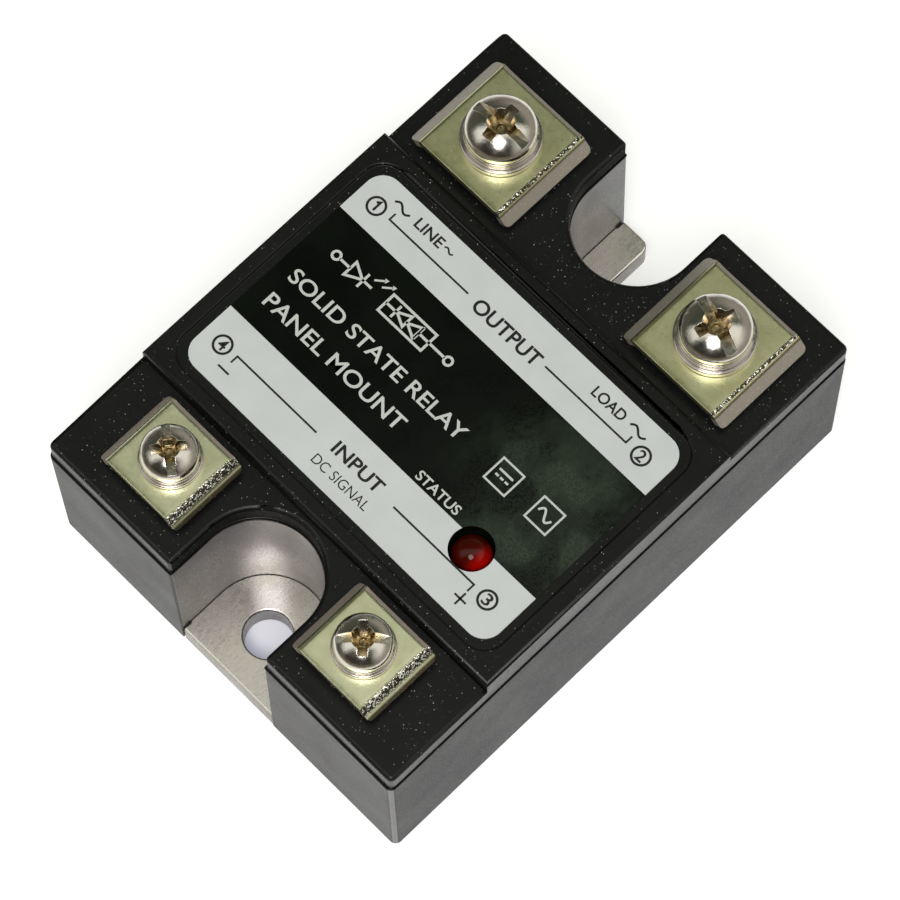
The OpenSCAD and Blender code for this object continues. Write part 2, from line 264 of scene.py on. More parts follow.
def lamp_lens(name):
    """Tinted epoxy, dark toward +Y, with a painted glow in its -Y side: bright red painted where light
    would gather.
    """
    look = surface(name, Transmission_Weight=0.35, IOR=1.5, Specular_IOR_Level=0.02)
    cloud = look.noise(1.2, detail=2.0)
    side = look.node("SeparateXYZ", {"Vector": look.place(1.0)}).outputs[1]
    # painted glow: the -Y side of the lens is painted bright red, as if lit from within
    painted_glow = look.remap(side, LAMP_Y - 0.2, LAMP_Y - 2.0, 0.0, 1.0, "SMOOTHSTEP")
    tone = look.mix(cloud, rgb(0.055, 0.004, 0.001), rgb(0.085, 0.005, 0.002))
    tone = look.mix(painted_glow, tone, rgb(0.75, 0.003, 0.001))
    return wire(look, tone, look.remap(cloud, 0.3, 0.7, 0.08, 0.14))


LAMP_Y = -12.1

LOOKS = {
    "cover_plastic": moulded_plastic("cover_plastic", (0.0026, 0.0034, 0.0030),
                                     0.27, 0.34, 0.30, 0.010),
    "case_plastic": moulded_plastic("case_plastic", (0.0060, 0.0060, 0.0062), 0.05, 0.20, 0.34, 0.004),
    # notch walls: a lighter, warmer tint that paints the nickel plate's reflection, with high shine
    "case_notch": moulded_plastic("case_notch", (0.0120, 0.0100, 0.0092), 0.03, 0.30, 0.88, 0.010),
    "cover_notch": moulded_plastic("cover_notch", (0.0026, 0.0034, 0.0030), 0.10, 0.55, 0.03, 0.006),
    "case_end": moulded_plastic("case_end", (0.0060, 0.0062, 0.0068), 0.05, 0.40, 0.24, 0.006),
    # long sides: a bluer, less shiny copy of the case plastic, painted shade
    "case_side": moulded_plastic("case_side", (0.0060, 0.0068, 0.0105), 0.05, 0.40, 0.14, 0.006),
    # a dark strip of painted shade along the feet of the notch walls
    "seam_resin": plain_part("seam_resin", (0.008, 0.006, 0.005), 0.60, size=0.4),
    "base_edge": satin_metal("base_edge", (0.27, 0.25, 0.23), (0.20, 0.185, 0.17), 0.34),
    "base_nickel": satin_metal("base_nickel", (0.93, 0.85, 0.83), (0.84, 0.79, 0.69), 0.27,
                               0.55, (1, 2, 1), 0.004),
    "terminal_metal": satin_metal("terminal_metal", (0.74, 0.70, 0.60), (0.62, 0.57, 0.46), 0.26),
    # the third colour is the recess brown, partly painted shade
    "washer_nickel": bright_nickel("washer_nickel", (0.50, 0.465, 0.43), (0.50, 0.40, 0.28), 0.20),
    "screw_nickel": bright_nickel("screw_nickel", (0.58, 0.55, 0.495), (0.50, 0.39, 0.21), 0.16),
    "clamp_load": chromate("clamp_load", (0.79, 0.785, 0.475), (0.68, 0.67, 0.365),
                           (0.32, 0.29, 0.245)),
    "clamp_control": chromate("clamp_control", (0.90, 0.90, 0.62), (0.80, 0.80, 0.50),
                              (0.36, 0.31, 0.26)),
    "label_light": printed_film("label_light", (0.665, 0.697, 0.703), 0.30, 0.4),
    "label_dark": printed_film("label_dark", (0.0022, 0.0030, 0.0024), 0.03),
    "ink_dark": printed_film("ink_dark", (0.010, 0.011, 0.012), 0.30),
    "ink_light": printed_film("ink_light", (0.62, 0.65, 0.62), 0.34, 0.4),
    "lamp_red": lamp_lens("lamp_red"),
    "lamp_cup": satin_metal("lamp_cup", (0.85, 0.55, 0.45), (0.7, 0.35, 0.3), 0.3),
    "tinned_lead": satin_metal("tinned_lead", (0.75, 0.75, 0.77), (0.6, 0.6, 0.62), 0.32),
    "copper": satin_metal("copper", (0.80, 0.42, 0.27), (0.62, 0.30, 0.18), 0.30),
    "ceramic_white": plain_part("ceramic_white", (0.85, 0.85, 0.82), 0.35, size=0.3),
    "silicon": plain_part("silicon", (0.12, 0.12, 0.15), 0.15, 0.6),
    "board_green": plain_part("board_green", (0.015, 0.11, 0.045), 0.35, size=1.5),
    "part_black": plain_part("part_black", (0.02, 0.02, 0.022), 0.42, size=0.3),
    "part_tan": plain_part("part_tan", (0.55, 0.42, 0.26), 0.40),
    "part_yellow": plain_part("part_yellow", (0.62, 0.40, 0.04), 0.32, size=2.0),
    "part_white": plain_part("part_white", (0.72, 0.72, 0.68), 0.55, size=0.4),
    "part_blue": plain_part("part_blue", (0.03, 0.10, 0.34), 0.28, size=1.5),
    "potting_grey": plain_part("potting_grey", (0.045, 0.045, 0.05), 0.38, size=4.0),
}


# ---------- mesh helpers ----------


def add_object(name, data):
    made = bpy.data.objects.new(name, data)
    bpy.context.scene.collection.objects.link(made)
    return made


def shade(mesh, angle=38):
    mesh.shade_smooth()
    mesh.set_sharp_from_angle(angle=math.radians(angle))


def from_bmesh(name, bm, looks, angle=38):
    mesh = bpy.data.meshes.new(name)
    bm.to_mesh(mesh)
    bm.free()
    for look in looks:
        mesh.materials.append(LOOKS[look])
    shade(mesh, angle)
    return add_object(name, mesh)


def stand_for(obj, node):
    """obj takes the place of a CAD node, on that node's body."""
    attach(obj, nodes[node]["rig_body"])
    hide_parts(node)
    return obj


def cad_copy(node):
    """A CAD node's mesh, welded and with its flat faces whole again."""
    bm = bmesh.new()
    bm.from_mesh(nodes[node].data)
    bmesh.ops.remove_doubles(bm, verts=bm.verts, dist=0.001 * MM)
    bmesh.ops.dissolve_limit(bm, angle_limit=math.radians(0.6), verts=bm.verts, edges=bm.edges)
    return bm


def soften(obj, width=None, segments=3, limit=None):
    """A bevel on the weighted edges, or on every edge sharper than limit degrees."""
    bevel = obj.modifiers.new("soft_edges", "BEVEL")
    bevel.width = width * MM
    bevel.segments = segments
    bevel.use_clamp_overlap = False
    bevel.miter_outer = "MITER_ARC"
    if limit is None:
        bevel.limit_method = "WEIGHT"
    else:
        bevel.limit_method = "ANGLE"
        bevel.angle_limit = math.radians(limit)
    flat = obj.modifiers.new("flat_faces", "WEIGHTED_NORMAL")
    flat.weight = 100
    flat.keep_sharp = True
    return obj


def weigh_edges(bm, radius_at, largest):
    """Bevel weights on the sharp edges; radius_at(mid point in mm, edge) gives an edge's radius."""
    layer = bm.edges.layers.float.new("bevel_weight_edge")
    for edge in bm.edges:
        if len(edge.link_faces) != 2:
            continue
        if edge.calc_face_angle() < math.radians(30):
            continue
        middle = (edge.verts[0].co + edge.verts[1].co) / (2 * MM)
        edge[layer] = min(1.0, radius_at(middle, edge) / largest)


def carve(obj, *cutters):
    """obj less each cutter, which is then gone."""
    for cutter in cutters:
        cut = obj.modifiers.new("carve", "BOOLEAN")
        cut.operation = "DIFFERENCE"
        cut.solver = "EXACT"
        cut.object = cutter
    graph = bpy.context.evaluated_depsgraph_get()
    carved = bpy.data.meshes.new_from_object(obj.evaluated_get(graph), depsgraph=graph)
    obj.modifiers.clear()
    obj.data = carved
    for cutter in cutters:
        bpy.data.objects.remove(cutter)
    return obj


def lathe(bm, profile, steps, centre):
    """Turns (radius, height) points, in mm, about a vertical axis through centre."""
    rings = []
    for radius, height in profile:
        if radius == 0:
            rings.append([bm.verts.new(centre + Vector((0, 0, height)) * MM)])
            continue
        ring = []
        for i in range(steps):
            angle = 2 * math.pi * i / steps
            offset = Vector((radius * math.cos(angle), radius * math.sin(angle), height))
            ring.append(bm.verts.new(centre + offset * MM))
        rings.append(ring)
    for low, high in zip(rings, rings[1:]):
        for i in range(steps):
            j = (i + 1) % steps
            loop = [low[i % len(low)], low[j % len(low)], high[j % len(high)], high[i % len(high)]]
            bm.faces.new(list(dict.fromkeys(loop)))


def arc(centre, radius, start, stop, steps):
    """Points of an arc in a profile plane, with its angles in degrees."""
    points = []
    for i in range(steps + 1):
        angle = math.radians(start + (stop - start) * i / steps)
        points.append((centre[0] + radius * math.cos(angle), centre[1] + radius * math.sin(angle)))
    return points


def prism(name, top, bottom, z_top, z_bottom, turn, centre):
    """A four-sided cutter: top and bottom are (length, width), and turn is in degrees about Z."""
    bm = bmesh.new()
    rings = []
    for (length, width), z in ((bottom, z_bottom), (top, z_top)):
        corners = ((-1, -1), (1, -1), (1, 1), (-1, 1))
        rings.append([bm.verts.new(Vector((sx * length / 2, sy * width / 2, z)) * MM)
                      for sx, sy in corners])
    bm.faces.new(list(reversed(rings[0])))
    bm.faces.new(rings[1])
    for i in range(4):
        j = (i + 1) % 4
        bm.faces.new([rings[0][i], rings[0][j], rings[1][j], rings[1][i]])
    mesh = bpy.data.meshes.new(name)
    bm.to_mesh(mesh)
    bm.free()
    mesh.transform(Matrix.Translation(centre) @ Matrix.Rotation(math.radians(turn), 4, "Z"))
    return add_object(name, mesh)


# ---------- places read from the frame ----------

cover_low, cover_high = (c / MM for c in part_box("top_cover"))
lens_low, lens_high = (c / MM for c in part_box("status_led"))
case_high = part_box("housing")[1] / MM
LABEL_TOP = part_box("label")[1].z / MM


def screw_axis(t):
    """Where terminal t's screw stands: the middle of its flat washer, in mm."""
    low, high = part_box(f"flat_washer_{t}")
    return (low + high) / 2 / MM


# ---------- enclosure ----------

SHELF_Z = 21.5
NOTCH_X = 24.0
NOTCH_R = 6.0
MOUNT_X = 23.8
PLATE_TOP = 3.0


def build_cover():
    """The cover with its own radius on each kind of edge, and darker walls in the notches."""
    rim = 0.38
    side = cover_high.y - 0.02

    def radius_at(p, edge):
        vertical = abs(edge.verts[0].co.z - edge.verts[1].co.z) > 1.0 * MM
        in_shelf_hole = abs(p.x) > 17 and abs(p.y) > 8 and abs(p.y) < 20 and abs(p.x) < 27
        if p.z < cover_low.z + 1.45:
            return 0.0
        if vertical:
            at_end = p.x > cover_high.x - 0.05 or p.x < cover_low.x + 0.05
            return rim if at_end and abs(p.y) < NOTCH_R + 0.3 else 0.0
        if p.z < SHELF_Z - 1.0:
            return 0.12 if abs(p.x) < cover_high.x + 1 else 0.0
        if abs(p.z - SHELF_Z) < 0.02:
            if in_shelf_hole:
                return 0.12
            if abs(p.x) < 17.5 and abs(p.y) < side:
                return 0.14
            return rim
        if abs(p.z - cover_high.z) < 0.02:
            near_recess = abs(p.y) < 20.8 and -15.9 < p.x < 11.9
            return 0.13 if near_recess else 0.34
        if p.z > SHELF_Z + 1.0:
            return 0.10
        return 0.0

    bm = cad_copy("top_cover")
    weigh_edges(bm, radius_at, rim)
    for face in bm.faces:
        face.material_index = 1 if in_notch(face) else 0
    obj = from_bmesh("cover_shell", bm, ["cover_plastic", "cover_notch"])
    return stand_for(soften(obj, rim), "top_cover")


def in_notch(face):
    """True for the upright walls of the two end notches."""
    middle = face.calc_center_median() / MM
    between = 17.5 < abs(middle.x) < case_high.x - 0.05 and abs(middle.y) < NOTCH_R + 0.25
    return abs(face.normal.z) < 0.3 and between


def build_case():
    """The case, with looks of its own for its ends, its long sides and the notch walls; the long
    sides' look is a bluer, less shiny copy that paints shade, and the notch walls' warmer tint paints
    the plate's reflection.
    """
    widest = 0.38

    def radius_at(p, edge):
        vertical = abs(edge.verts[0].co.z - edge.verts[1].co.z) > 5.0 * MM
        outside = abs(p.x) > case_high.x - 1.0 or abs(p.y) > case_high.y - 1.0
        if vertical:
            return widest if abs(p.x) > case_high.x - 0.05 and abs(p.y) < NOTCH_R + 0.3 else 0.0
        if p.z > case_high.z - 0.5:
            return 0.06
        if p.z < 0.3 and outside:
            return 0.25
        return 0.0

    bm = cad_copy("housing")
    weigh_edges(bm, radius_at, widest)
    for face in bm.faces:
        middle = face.calc_center_median() / MM
        # notch walls take the warmer tint that paints the plate's reflection
        if in_notch(face):
            face.material_index = 3
        if abs(face.normal.x) > 0.9 and abs(middle.x) > case_high.x - 0.1:
            face.material_index = 1
        # long sides take the bluer, less shiny copy: painted shade
        if abs(face.normal.y) > 0.9 and abs(middle.y) > case_high.y - 0.1:
            face.material_index = 2
    obj = from_bmesh("case_shell", bm, ["case_plastic", "case_end", "case_side", "case_notch"])
    return stand_for(soften(obj, widest), "housing")


def build_seams():
    """A dark strip of painted shade where each notch wall meets the base plate."""
    for side in (-1, 1):
        bm = bmesh.new()
        rows = []
        for away, lift in ((-0.05, -0.02), (0.07, -0.02), (0.05, 0.10), (-0.05, 0.12)):
            height = PLATE_TOP + lift
            bend = arc((NOTCH_X, 0.0), NOTCH_R - away, 90, 270, 48)
            end_x = case_high.x - 0.5
            line = [(end_x, NOTCH_R - away)] + bend + [(end_x, -NOTCH_R + away)]
            rows.append([bm.verts.new(Vector((side * x, y, height)) * MM) for x, y in line])
        for low, high in zip(rows, rows[1:] + rows[:1]):
            for i in range(len(low) - 1):
                bm.faces.new([low[i], low[i + 1], high[i + 1], high[i]])
        bm.faces.new([row[0] for row in rows])
        bm.faces.new([row[-1] for row in reversed(rows)])
        bmesh.ops.recalc_face_normals(bm, faces=bm.faces)
        obj = from_bmesh("notch_seam_shade_load" if side > 0 else "notch_seam_shade_control", bm, ["seam_resin"])
        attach(obj, "root")


def build_metalwork():
    """Softened copies of the plain plates, washers and blocks."""
    softened = [("base_plate", 0.18)]
    for t in TERMINALS:
        softened += [(f"terminal_block_{t}", 0.2), (f"flat_washer_{t}", 0.12),
                     (f"spring_washer_{t}", 0.10)]
    slots = {s["node"]: s["material_slot"] for s in frame["record"]["subparts"]}
    for node, radius in softened:
        bm = cad_copy(node)
        looks = [slots[node]]
        if node == "base_plate":
            looks.append("base_edge")
            for face in bm.faces:
                face.material_index = 1 if abs(face.normal.z) < 0.5 else 0
        obj = from_bmesh(node + "_finished", bm, looks)
        stand_for(soften(obj, radius, limit=40), node)


# ---------- clamp plates ----------

PLATES = {
    "load": dict(length=11.0, flat=9.9, thick=0.8, run=1.4, drop=1.45),
    "control": dict(length=8.4, flat=7.8, thick=0.7, run=1.1, drop=1.35),
}


def plate_profile(flat, thick, run, drop, bend=0.5, **_):
    """Half of the bent section, middle to tip: rows of (y, z, lean) outside and (y, z) inside.

    The inside rows meet at one knee, so that the thick plate's tight bend doesn't fold on itself.
    """
    slope = math.atan2(drop, run)
    tangent = bend * math.tan(slope / 2)
    start = flat / 2 - tangent
    knee = flat / 2 - thick * math.tan(slope / 2)
    rows = [((start * f, 0.0, 0.0), (start * f, -thick)) for f in (0, 0.2, 0.4, 0.6, 0.8, 0.9)]
    turns = 12
    for i, (y, z) in enumerate(arc((start, -bend), bend, 90, 90 - math.degrees(slope), turns)):
        lean = math.atan2(y - start, z + bend)
        along = 0.08 * (i / turns - 0.5)
        turned = slope if along > 0 else 0.0
        inner = (knee + along * math.cos(turned), -thick - along * math.sin(turned))
        rows.append(((y, z, lean), inner))
    (y0, z0, lean), _ = rows[-1]
    wing = math.hypot(run, drop) - tangent
    for back in (1.2, 1.05, 0.9, 0.72, 0.6, 0.5, 0.36, 0.24, 0.14, 0.06, 0.0):
        s = wing - back * wing / 1.3
        y = y0 + s * math.cos(lean)
        z = z0 - s * math.sin(lean)
        rows.append(((y, z, lean), (y - thick * math.sin(lean), z - thick * math.cos(lean))))
    return rows


def build_clamp_plate(t):
    """A bent saddle plate with a raised rim, a chamfered edge, rounded wings and a screw hole."""
    size = PLATES["load" if t in LOAD_TERMINALS else "control"]
    low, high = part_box(f"clamp_plate_{t}")
    axis = screw_axis(t)
    top = high.z / MM
    half_profile = plate_profile(**size)
    corner = 0.55        # plan radius of the wings' corners
    rolled = 0.45        # width of the raised rim on the -X edge
    roll_height = 0.03
    brim = 0.42          # width of the chamfer on the +X edge
    brim_drop = 0.26
    rows = []
    travelled = 0.0
    previous = half_profile[0][0]
    for point, under in half_profile:
        travelled += math.hypot(point[0] - previous[0], point[1] - previous[1])
        rows.append((point, under, travelled))
        previous = point
    full = travelled
    both = [((-p[0], p[1], -p[2]), (-u[0], u[1]), -s) for p, u, s in reversed(rows[1:])] + rows
    columns = [-1, -0.985, -0.95, -0.9, -0.8, -0.6, -0.3, 0, 0.3, 0.6, 0.8]
    columns += [1 - 2 * gap / size["length"] for gap in (0.6, 0.42, 0.36, 0.18, 0.0)]
    bm = bmesh.new()
    wear_layer = bm.verts.layers.float.new("wear")
    wing_bare_and_shade_layer = bm.verts.layers.float.new("wing")
    outer, inner = [], []
    bend_at = size["flat"] / 2
    wide = 0.40 if t in LOAD_TERMINALS else 1.0        # width of the peeling band at the -Y bend
    for (y, z, lean), (inner_y, inner_z), s in both:
        to_tip = full - abs(s)
        cut = corner - math.sqrt(max(0.0, corner ** 2 - max(0.0, corner - to_tip) ** 2))
        half_x = size["length"] / 2 - cut
        outer_row, inner_row = [], []
        for c in columns:
            x = c * half_x
            edge_gap = size["length"] / 2 - abs(x)
            flat_part = max(0.0, min(1.0, (bend_at + 0.2 - abs(s)) / 0.9))
            lift = roll_height * max(0.0, 1 - edge_gap / rolled) ** 2
            if c > 0:
                lift = -brim_drop * flat_part * max(0.0, 1 - edge_gap / brim)
            normal = Vector((0, math.sin(lean), math.cos(lean)))
            spot = Vector((axis.x + x, axis.y + y, top - roll_height + z)) + normal * lift
            under = Vector((axis.x + x, axis.y + inner_y, top - roll_height + inner_z))
            for row, p in ((outer_row, spot), (inner_row, under)):
                vert = bm.verts.new(p * MM)
                beyond = abs(s) - bend_at
                half_wide = 0.5 * wide
                off = abs(beyond - half_wide + 0.12) / half_wide
                vert[wear_layer] = max(0.0, min(1.0, 2.5 * (1.2 - off))) if s < 0 else 0.0
                bare = max(0.0, min(1.0, (beyond - (1.15 * wide if s < 0 else 0.25)) / 0.15))
                edge = 1.0 if c > 0 and edge_gap < 0.40 and beyond < 0.05 else 0.0
                # 0.5 on the control plates' -Y wings paints a dark band: painted shade
                vert[wing_bare_and_shade_layer] = max(edge, bare * (0.5 if s < 0 and t > 2 else 1.0))
                row.append(vert)
        outer.append(outer_row)
        inner.append(inner_row)
    last = len(columns) - 1
    for i in range(len(both) - 1):
        for j in range(last):
            bm.faces.new([outer[i][j], outer[i][j + 1], outer[i + 1][j + 1], outer[i + 1][j]])
            bm.faces.new([inner[i][j], inner[i + 1][j], inner[i + 1][j + 1], inner[i][j + 1]])
        for j, flip in ((0, False), (last, True)):
            loop = [outer[i][j], outer[i + 1][j], inner[i + 1][j], inner[i][j]]
            bm.faces.new(loop[::-1] if flip else loop)
    for i, flip in ((0, True), (len(both) - 1, False)):
        for j in range(last):
            loop = [outer[i][j], outer[i][j + 1], inner[i][j + 1], inner[i][j]]
            bm.faces.new(loop[::-1] if flip else loop)
    bmesh.ops.recalc_face_normals(bm, faces=bm.faces)
    look = "clamp_load" if t in LOAD_TERMINALS else "clamp_control"
    obj = from_bmesh(f"saddle_plate_{t}", bm, [look], angle=50)
    hole = bmesh.new()
    hole_r = (4.0 if t in LOAD_TERMINALS else 3.0) / 2 + 0.25
    lathe(hole, [(0, -3), (hole_r, -3), (hole_r, 3), (0, 3)], 48, Vector((axis.x, axis.y, top)) * MM)
    carve(obj, from_bmesh("hole_cutter", hole, []))
    shade(obj.data, 50)
    return stand_for(obj, f"clamp_plate_{t}")


# ---------- screws ----------

SCREWS = {
    "load": dict(shank=4.0, head=6.8, height=2.6, slot=1.05, slot_depth=1.25, wing=4.7,
                 wing_width=1.15, wing_depth=1.75, pitch=0.7),
    "control": dict(shank=3.0, head=5.4, height=2.2, slot=0.86, slot_depth=1.05, wing=3.9,
                    wing_width=0.95, wing_depth=1.45, pitch=0.5),
}
SLOT_ANGLES = {1: -86, 2: -108, 3: -46, 4: -126}


def head_profile(head, height):
    """Pan head from the axis below, out round the rim and over the dome to the axis."""
    radius = head / 2
    rim = 0.38 * height
    rise = height - rim
    big = (radius ** 2 + rise ** 2) / (2 * rise)
    fillet = 0.16
    edge = math.degrees(math.asin(radius / big))
    points = [(0, 0), (radius * 0.5, 0)]
    points += arc((radius - fillet, fillet), fillet, -90, 0, 4)
    shoulder = 0.42
    start = 90 - edge
    points += [(radius, rim - shoulder)]
    dome = arc((0, height - big), big, start + 7, 89, 16)
    points += [(radius - 0.03, rim - 0.12), (radius - 0.12, rim + 0.12)]
    points += [p for p in dome if p[0] < radius - 0.2]
    return points + [(0, height)]


def thread(bm, shank, pitch, z_high, z_low, centre):
    """A screw thread as one wound sheet, closed at its tip."""
    steps = 32
    depth = 0.6 * pitch
    radius = shank / 2
    per_turn = 6
    rows = int((z_high - z_low) / pitch * per_turn)
    rings = []
    for k in range(rows + 1):
        height = z_high - (z_high - z_low) * k / rows
        fade = min(1.0, (height - z_low) / pitch)
        ring = []
        for i in range(steps):
            turn = i / steps
            phase = (height / pitch - turn) % 1.0
            crest = abs(2 * phase - 1)
            r = (radius - depth * (1 - crest)) * (0.72 + 0.28 * fade)
            angle = 2 * math.pi * turn
            ring.append(bm.verts.new(centre + Vector((r * math.cos(angle), r * math.sin(angle),
                                                      height)) * MM))
        rings.append(ring)
    for upper, lower in zip(rings, rings[1:]):
        for i in range(steps):
            j = (i + 1) % steps
            bm.faces.new([upper[i], lower[i], lower[j], upper[j]])
    bm.faces.new(rings[0])
    bm.faces.new(list(reversed(rings[-1])))


def mark_recess(mesh, size, top, axis):
    """Stores how far each point lies below the dome, 0 to 1, as the recess attribute."""
    radius = size["head"] / 2
    rise = size["height"] * 0.62
    big = (radius ** 2 + rise ** 2) / (2 * rise)
    layer = mesh.attributes.new("recess", "FLOAT", "POINT")
    for vert in mesh.vertices:
        p = vert.co / MM - axis
        r = min(math.hypot(p.x, p.y), radius)
        dome = top - big + math.sqrt(big ** 2 - r ** 2)
        below = dome - vert.co.z / MM
        inside = r < radius - 0.25 and vert.co.z / MM > top - size["height"] + 0.2
        layer.data[vert.index].value = min(1.0, max(0.0, (below - 0.25) / 0.6)) if inside else 0.0


def build_screw(t):
    """A domed pan head with a slot and a cross cut in it, on a threaded shank."""
    size = SCREWS["load" if t in LOAD_TERMINALS else "control"]
    low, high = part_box(f"screw_{t}")
    axis = screw_axis(t)
    top = high.z / MM
    seat = top - size["height"]
    base = Vector((axis.x, axis.y, seat)) * MM
    bm = bmesh.new()
    lathe(bm, head_profile(size["head"], size["height"]), 96, base)
    bmesh.ops.recalc_face_normals(bm, faces=bm.faces)
    head = from_bmesh(f"terminal_screw_{t}", bm, ["screw_nickel"])
    crown = Vector((axis.x, axis.y, top)) * MM
    turn = SLOT_ANGLES[t]
    long_way = 1.5 * size["head"]
    wing, width = size["wing"], size["wing_width"]
    cutters = [prism("slot_cutter", (long_way, size["slot"] + 0.06), (long_way, size["slot"] - 0.06),
                     1.0, -size["slot_depth"], turn, crown)]
    spread = 1 + 1.0 / size["wing_depth"]
    for quarter in (0, 90):
        cutters.append(prism("wing_cutter", (wing * spread, width + 0.15), (wing * 0.30, width - 0.25),
                             1.0, -size["wing_depth"], turn + quarter, crown))
    cone = bmesh.new()
    deep = -size["wing_depth"] - 0.3
    rim_r = 0.30 * wing
    slant = (rim_r - 0.1 * wing) / size["wing_depth"]
    lathe(cone, [(0, deep), (0.07 * wing, deep), (rim_r + slant, 1.0), (0, 1.0)], 32, crown)
    cutters.append(from_bmesh("cone_cutter", cone, []))
    carve(head, *cutters)
    full = bmesh.new()
    full.from_mesh(head.data)
    thread(full, size["shank"], size["pitch"], 0.1, (low.z / MM) - seat, base)
    full.to_mesh(head.data)
    full.free()
    mark_recess(head.data, size, top, axis)
    shade(head.data, 30)
    return stand_for(head, f"screw_{t}")


# ---------- status lamp ----------


def build_lamp():
    """A domed lens on a flange, round a small reflector cup on its lead."""
    width = 3.8
    centre = (lens_low + lens_high) / 2
    base = Vector((centre.x, centre.y, lens_low.z)) * MM
    flange_r = (lens_high.x - lens_low.x) / 2
    shoulder = lens_high.z - lens_low.z - width / 2
    profile = [(0, 0), (flange_r - 0.1, 0), (flange_r, 0.1), (flange_r, 0.9), (flange_r - 0.1, 1.0),
               (width / 2 + 0.08, 1.0), (width / 2, 1.1)]
    profile += arc((0, shoulder), width / 2, 0, 90, 20)[:-1] + [(0, shoulder + width / 2)]
    bm = bmesh.new()
    lathe(bm, profile, 64, base)
    bmesh.ops.recalc_face_normals(bm, faces=bm.faces)
    stand_for(from_bmesh("lamp_lens", bm, ["lamp_red"]), "status_led")
    cup = bmesh.new()
    lathe(cup, [(0, 1.2), (0.45, 1.2), (0.5, 2.4), (0.95, 3.1), (0.9, 3.14), (0.5, 2.62), (0, 2.6)],
          40, base)
    bmesh.ops.recalc_face_normals(cup, faces=cup.faces)
    obj = from_bmesh("lamp_cup", cup, ["lamp_cup"])
    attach(obj, "root")


# ---------- label and print ----------

BAND_LOAD_X = 5.54
BAND_CONTROL_X = -8.22
PRINT_LIFT = 0.015
PRINT_SCALE = 0.9906


def build_label():
    """The film, split into two light bands and the dark panel between them."""
    bm = cad_copy("label")
    for x in (BAND_LOAD_X, BAND_CONTROL_X):
        bmesh.ops.bisect_plane(bm, geom=list(bm.verts) + list(bm.edges) + list(bm.faces),
                               plane_co=(x * MM, 0, 0), plane_no=(1, 0, 0), dist=0.0001 * MM)
    for face in bm.faces:
        x = face.calc_center_median().x / MM
        face.material_index = 1 if BAND_CONTROL_X < x < BAND_LOAD_X else 0
    obj = from_bmesh("label_film", bm, ["label_light", "label_dark"])
    return stand_for(obj, "label")


class Print:
    """Flat ink on the label. Points are (x, y) of the object in mm; text reads towards -Y."""

    def __init__(self):
        self.bm = bmesh.new()
        self.height = (LABEL_TOP + PRINT_LIFT) * MM

    def face(self, points):
        verts = [self.bm.verts.new((x * MM, y * MM, self.height)) for x, y in points]
        made = self.bm.faces.new(verts)
        made.normal_update()
        if made.normal.z < 0:
            made.normal_flip()

    def stroke(self, points, width, closed=False):
        """A line of even width with mitred corners."""
        count = len(points)
        left, right = [], []
        for i, (x, y) in enumerate(points):
            before = points[i - 1] if i or closed else None
            after = points[(i + 1) % count] if i < count - 1 or closed else None
            ways = []
            for a, b in ((before, (x, y)), ((x, y), after)):
                if a is not None and b is not None:
                    ways.append(Vector((b[0] - a[0], b[1] - a[1])).normalized())
            mean = sum(ways, Vector((0, 0))).normalized()
            side = Vector((-mean.y, mean.x))
            reach = width / 2 / max(0.3, side.dot(Vector((-ways[0].y, ways[0].x))))
            left.append((x + side.x * reach, y + side.y * reach))
            right.append((x - side.x * reach, y - side.y * reach))
        for i in range(count if closed else count - 1):
            j = (i + 1) % count
            self.face([left[i], left[j], right[j], right[i]])

    def ring(self, x, y, radius, width):
        self.stroke(arc((x, y), radius, 0, 360, 40)[:-1], width, closed=True)

    def wave(self, x, y, length, height, width):
        """One period of a sine along the reading direction."""
        steps = 24
        points = []
        for i in range(steps + 1):
            f = i / steps
            points.append((x + height * math.sin(2 * math.pi * f), y + length * (0.5 - f)))
        self.stroke(points, width)

    def text(self, words, x, y_start, y_stop, cap, weight=0.0):
        """Words from y_start to y_stop on baseline x, with capitals cap mm high."""
        curve = bpy.data.curves.new("words", "FONT")
        curve.body = words
        curve.size = 1.0
        curve.offset = weight
        holder = bpy.data.objects.new("words", curve)
        bpy.context.scene.collection.objects.link(holder)
        graph = bpy.context.evaluated_depsgraph_get()
        mesh = bpy.data.meshes.new_from_object(holder.evaluated_get(graph))
        xs = [v.co.x for v in mesh.vertices]
        ys = [v.co.y for v in mesh.vertices]
        wide = abs(y_stop - y_start) / (max(xs) - min(xs))
        tall = cap / (max(ys) - min(ys))
        for v in mesh.vertices:
            across = y_start - (v.co.x - min(xs)) * wide
            up = x + (v.co.y - min(ys)) * tall
            v.co = (up * MM, across * MM, self.height)
        self.bm.from_mesh(mesh)
        bpy.data.objects.remove(holder)
        bpy.data.meshes.remove(mesh)
        bpy.data.curves.remove(curve)

    def piece(self, name, look):
        bmesh.ops.remove_doubles(self.bm, verts=self.bm.verts, dist=0.0005 * MM)
        for v in self.bm.verts:
            v.co.x *= PRINT_SCALE
            v.co.y *= PRINT_SCALE
        for face in self.bm.faces:
            face.normal_update()
            if face.normal.z < 0:
                face.normal_flip()
        obj = from_bmesh(name, self.bm, [look])
        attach(obj, "root")


